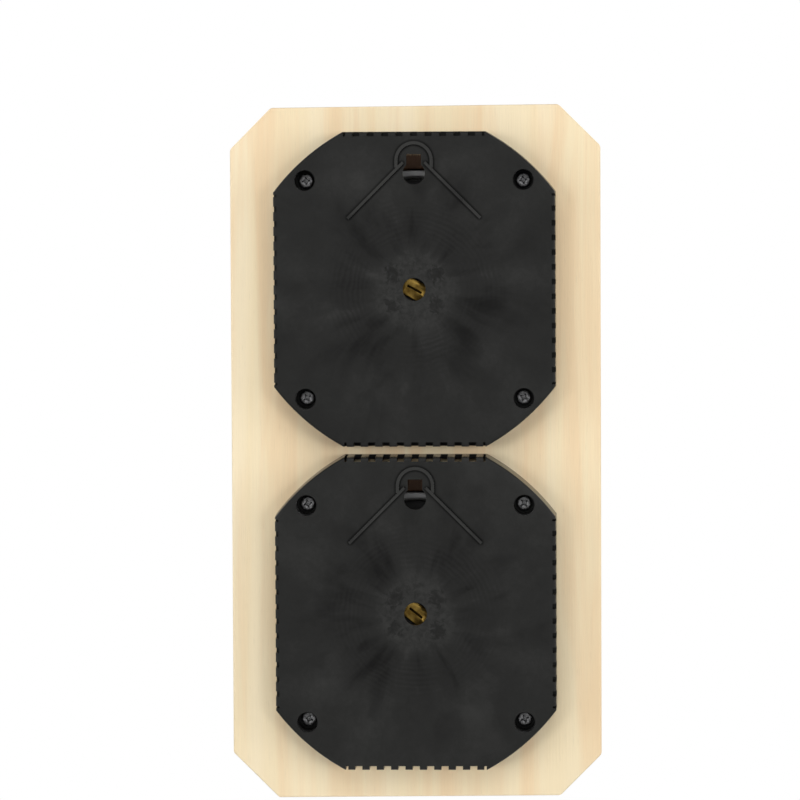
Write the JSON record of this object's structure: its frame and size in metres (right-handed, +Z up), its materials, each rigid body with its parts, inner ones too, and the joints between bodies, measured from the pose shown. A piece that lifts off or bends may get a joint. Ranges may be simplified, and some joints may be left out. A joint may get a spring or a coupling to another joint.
{
  "type": "twin-dial wall thermometer and hygrometer",
  "caption": "Upright wooden board with cut corners carrying two round dial instruments, a thermometer above a hygrometer, in vented rear housings with keyhole hangers.",
  "frame": {"origin": "hang point: the top edge of the upper keyhole slot, in the plane of the rear housings' back faces", "axes": "+Z up along the board's long side, -Y towards the reader of the dials, +Y towards the wall, +X to the reader's right"},
  "size_m": [0.1404, 0.0314, 0.2634],
  "materials": {
    "pale_wood": "sanded, unvarnished",
    "black_plastic": "satin moulded",
    "gloss_black": "gloss moulded",
    "clear_lens": "clear",
    "dial_paint": "matt printed",
    "pointer_paint": "satin",
    "zinc_steel": "zinc plated",
    "screw_steel": "dark zinc plated",
    "brass": "turned",
    "aged_brass": "aged, milled",
    "coil_metal": "rolled strip"
  },
  "bodies": {
    "station": {"wood_board": "pale_wood", "thermo_rear_housing": "black_plastic", "thermo_housing_screw_1": "screw_steel", "thermo_housing_screw_2": "screw_steel", "thermo_housing_screw_3": "screw_steel", "thermo_housing_screw_4": "screw_steel", "thermo_dial_casing": "gloss_black", "thermo_lens": "clear_lens", "thermo_dial_spacer": "gloss_black", "thermo_dial_plate": "dial_paint", "thermo_dial_retainer": "black_plastic", "thermo_movement_bridge": "zinc_steel", "thermo_dial_bushing": "brass", "thermo_friction_washer": "zinc_steel", "thermo_bridge_rivet_1": "zinc_steel", "thermo_bridge_rivet_2": "zinc_steel", "hygro_rear_housing": "black_plastic", "hygro_housing_screw_1": "screw_steel", "hygro_housing_screw_2": "screw_steel", "hygro_housing_screw_3": "screw_steel", "hygro_housing_screw_4": "screw_steel", "hygro_dial_casing": "gloss_black", "hygro_lens": "clear_lens", "hygro_dial_spacer": "gloss_black", "hygro_dial_plate": "dial_paint", "hygro_dial_retainer": "black_plastic", "hygro_movement_bridge": "zinc_steel", "hygro_dial_bushing": "brass", "hygro_friction_washer": "zinc_steel", "hygro_bridge_rivet_1": "zinc_steel", "hygro_bridge_rivet_2": "zinc_steel"},
    "thermo_adjuster": {"thermo_adjuster": "aged_brass", "thermo_anchor_arm": "zinc_steel", "thermo_bimetal_coil": "coil_metal"},
    "thermo_pointer": {"thermo_arbor": "zinc_steel", "thermo_pointer": "pointer_paint", "thermo_pointer_hub": "pointer_paint"},
    "hygro_adjuster": {"hygro_adjuster": "aged_brass", "hygro_anchor_arm": "zinc_steel", "hygro_humidity_coil": "coil_metal"},
    "hygro_pointer": {"hygro_arbor": "zinc_steel", "hygro_pointer": "pointer_paint", "hygro_pointer_hub": "pointer_paint"}
  },
  "joints": [
    {"name": "thermo_calibration", "type": "hinge", "parent": "station", "child": "thermo_adjuster", "pos_m": [0, -0.0038, -0.0507], "axis": [0, 1, 0], "range_deg": [-60, 60]},
    {"name": "thermo_pointer_turn", "type": "hinge", "parent": "thermo_adjuster", "child": "thermo_pointer", "pos_m": [0, -0.0245, -0.0507], "axis": [0, 1, 0], "range_deg": [-38.57, 231.43], "stiffness_Nm_per_rad": 0.003, "deforming": ["thermo_bimetal_coil"]},
    {"name": "hygro_calibration", "type": "hinge", "parent": "station", "child": "hygro_adjuster", "pos_m": [0, -0.0038, -0.1728], "axis": [0, 1, 0], "range_deg": [-60, 60]},
    {"name": "hygro_pointer_turn", "type": "hinge", "parent": "hygro_adjuster", "child": "hygro_pointer", "pos_m": [0, -0.0245, -0.1728], "axis": [0, 1, 0], "range_deg": [-121.5, 148.5], "stiffness_Nm_per_rad": 0.003, "deforming": ["hygro_humidity_coil"]}
  ]
}
